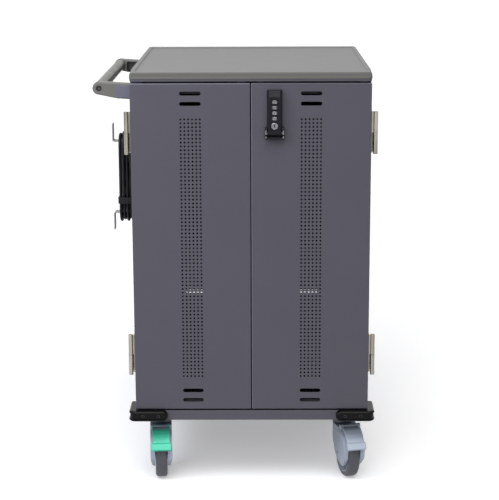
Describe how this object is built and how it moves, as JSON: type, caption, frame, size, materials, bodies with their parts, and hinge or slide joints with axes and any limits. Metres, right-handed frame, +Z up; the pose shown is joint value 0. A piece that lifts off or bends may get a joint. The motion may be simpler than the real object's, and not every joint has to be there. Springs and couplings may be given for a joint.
{
  "type": "laptop charging cart",
  "caption": "Steel cart on swivel casters that stores and charges laptops behind a pair of locking doors, with a push handle and cord hooks on its side.",
  "frame": {"origin": "on the floor, under the centre of the cart's outline, handle and bumpers included, cord left out", "axes": "+Z up, +X to the right of someone facing the two doors, +Y from the doors to the back"},
  "size_m": [0.726, 0.7615, 1.1],
  "materials": {
    "cabinet_paint": "satin powder coat",
    "lid_plastic": "fine grained",
    "inner_paint": "satin powder coat",
    "handle_alloy": "painted, satin",
    "hook_steel": "satin powder coat",
    "bumper_rubber": "smooth",
    "nickel": "nickel plated",
    "dark_steel": "black oxide",
    "black_plastic": "moulded",
    "dial_chrome": "satin",
    "cord_jacket": "semi gloss",
    "caster_plastic": "moulded",
    "tread": "smooth",
    "pedal_green": "moulded",
    "pedal_grey": "moulded",
    "strip_plastic": "moulded",
    "timer_plastic": "fine grained"
  },
  "bodies": {
    "cabinet": {"side_left": "cabinet_paint", "side_right": "cabinet_paint", "base_tray": "cabinet_paint", "header_rails": "cabinet_paint", "lid": "lid_plastic", "partition": "inner_paint", "shelf_upper": "inner_paint", "dividers_lower": "inner_paint", "dividers_upper": "inner_paint", "adapter_shelf": "inner_paint", "power_strips": "strip_plastic", "charge_timer": "timer_plastic", "inner_leads": "cord_jacket", "door_buffers": "bumper_rubber", "frame_leaves": "nickel", "hinge_pins": "nickel", "corner_bumpers": "bumper_rubber", "bumper_bolts": "dark_steel", "handle_arm_front": "handle_alloy", "handle_arm_rear": "handle_alloy", "handle_bar": "handle_alloy", "handle_bolts": "dark_steel", "hook_upper": "hook_steel", "hook_lower": "hook_steel", "hook_screws": "nickel", "caster_mounts": "dark_steel", "cord_gland": "black_plastic", "cord_lead": "cord_jacket", "cord_hank": "cord_jacket", "cord_end": "cord_jacket", "cord_tie": "black_plastic", "cord_plug": "black_plastic"},
    "left_door": {"left_door": "cabinet_paint", "left_door_leaves": "nickel"},
    "right_door": {"right_door": "cabinet_paint", "right_door_leaves": "nickel", "lock_plate": "black_plastic"},
    "lock_hub": {"lock_hub": "black_plastic", "lever_pin": "nickel", "lock_cam": "nickel"},
    "lock_lever": {"lock_lever": "black_plastic", "dial_axle": "nickel"},
    "rear_door": {"rear_door": "cabinet_paint", "rear_door_leaves": "nickel"},
    "rear_lock": {"rear_lock": "nickel"},
    "key_plug": {"key_plug": "dial_chrome"},
    "dial_1": {"dial_1": "dial_chrome"},
    "dial_2": {"dial_2": "dial_chrome"},
    "dial_3": {"dial_3": "dial_chrome"},
    "dial_4": {"dial_4": "dial_chrome"},
    "fork_front_left": {"fork_front_left": "caster_plastic"},
    "wheel_front_left": {"wheel_front_left": "tread"},
    "fork_front_right": {"fork_front_right": "caster_plastic"},
    "wheel_front_right": {"wheel_front_right": "tread"},
    "fork_rear_left": {"fork_rear_left": "caster_plastic"},
    "wheel_rear_left": {"wheel_rear_left": "tread"},
    "fork_rear_right": {"fork_rear_right": "caster_plastic"},
    "wheel_rear_right": {"wheel_rear_right": "tread"},
    "pedal_left": {"pedal_left": "pedal_green"},
    "pedal_right": {"pedal_right": "pedal_grey"}
  },
  "joints": [
    {"name": "left_door_hinge", "type": "hinge", "parent": "cabinet", "child": "left_door", "pos_m": [-0.276, -0.34925, 0.64195], "axis": [0, 0, -1], "range_deg": [0, 180]},
    {"name": "right_door_hinge", "type": "hinge", "parent": "cabinet", "child": "right_door", "pos_m": [0.356, -0.34925, 0.64195], "axis": [0, 0, 1], "range_deg": [0, 215]},
    {"name": "rear_door_hinge", "type": "hinge", "parent": "cabinet", "child": "rear_door", "pos_m": [0.356, 0.35475, 0.64195], "axis": [0, 0, -1], "range_deg": [0, 180]},
    {"name": "latch_turn", "type": "hinge", "parent": "right_door", "child": "lock_hub", "pos_m": [0.1, -0.35725, 0.946], "axis": [0, 1, 0], "range_deg": [0, 90]},
    {"name": "lever_swing", "type": "hinge", "parent": "lock_hub", "child": "lock_lever", "pos_m": [0.1, -0.37076, 0.946], "axis": [1, 0, 0], "range_deg": [0, 80]},
    {"name": "key_turn", "type": "hinge", "parent": "lock_lever", "child": "key_plug", "pos_m": [0.1, -0.37825, 0.965], "axis": [0, 1, 0], "range_deg": [0, 90]},
    {"name": "rear_lock_turn", "type": "hinge", "parent": "rear_door", "child": "rear_lock", "pos_m": [-0.222, 0.36275, 0.64195], "axis": [0, 1, 0], "range_deg": [0, 90]},
    {"name": "dial_1_spin", "type": "hinge", "parent": "lock_lever", "child": "dial_1", "pos_m": [0.1, -0.37275, 1.0257], "axis": [0, 0, 1], "continuous": true},
    {"name": "dial_2_spin", "type": "hinge", "parent": "lock_lever", "child": "dial_2", "pos_m": [0.1, -0.37275, 1.0119], "axis": [0, 0, 1], "continuous": true},
    {"name": "dial_3_spin", "type": "hinge", "parent": "lock_lever", "child": "dial_3", "pos_m": [0.1, -0.37275, 0.9981], "axis": [0, 0, 1], "continuous": true},
    {"name": "dial_4_spin", "type": "hinge", "parent": "lock_lever", "child": "dial_4", "pos_m": [0.1, -0.37275, 0.9843], "axis": [0, 0, 1], "continuous": true},
    {"name": "swivel_front_left", "type": "hinge", "parent": "cabinet", "child": "fork_front_left", "pos_m": [-0.208, -0.23925, 0.139], "axis": [0, 0, 1], "continuous": true},
    {"name": "roll_front_left", "type": "hinge", "parent": "fork_front_left", "child": "wheel_front_left", "pos_m": [-0.20521, -0.27915, 0.0625], "axis": [0.9976, 0.0698, 0], "continuous": true},
    {"name": "swivel_front_right", "type": "hinge", "parent": "cabinet", "child": "fork_front_right", "pos_m": [0.288, -0.23925, 0.139], "axis": [0, 0, 1], "continuous": true},
    {"name": "roll_front_right", "type": "hinge", "parent": "fork_front_right", "child": "wheel_front_right", "pos_m": [0.29835, -0.27789, 0.0625], "axis": [0.9659, 0.2588, 0], "continuous": true},
    {"name": "swivel_rear_left", "type": "hinge", "parent": "cabinet", "child": "fork_rear_left", "pos_m": [-0.208, 0.24475, 0.139], "axis": [0, 0, 1], "continuous": true},
    {"name": "roll_rear_left", "type": "hinge", "parent": "fork_rear_left", "child": "wheel_rear_left", "pos_m": [-0.208, 0.20475, 0.0625], "axis": [1, 0, 0], "continuous": true},
    {"name": "swivel_rear_right", "type": "hinge", "parent": "cabinet", "child": "fork_rear_right", "pos_m": [0.288, 0.24475, 0.139], "axis": [0, 0, 1], "continuous": true},
    {"name": "roll_rear_right", "type": "hinge", "parent": "fork_rear_right", "child": "wheel_rear_right", "pos_m": [0.288, 0.20475, 0.0625], "axis": [1, 0, 0], "continuous": true},
    {"name": "pedal_left_press", "type": "hinge", "parent": "fork_front_left", "child": "pedal_left", "pos_m": [-0.2042, -0.29353, 0.14424], "axis": [0.9976, 0.0698, 0], "range_deg": [0, 8]},
    {"name": "pedal_right_press", "type": "hinge", "parent": "fork_front_right", "child": "pedal_right", "pos_m": [0.30208, -0.29181, 0.14424], "axis": [0.9659, 0.2588, 0], "range_deg": [0, 8]}
  ]
}
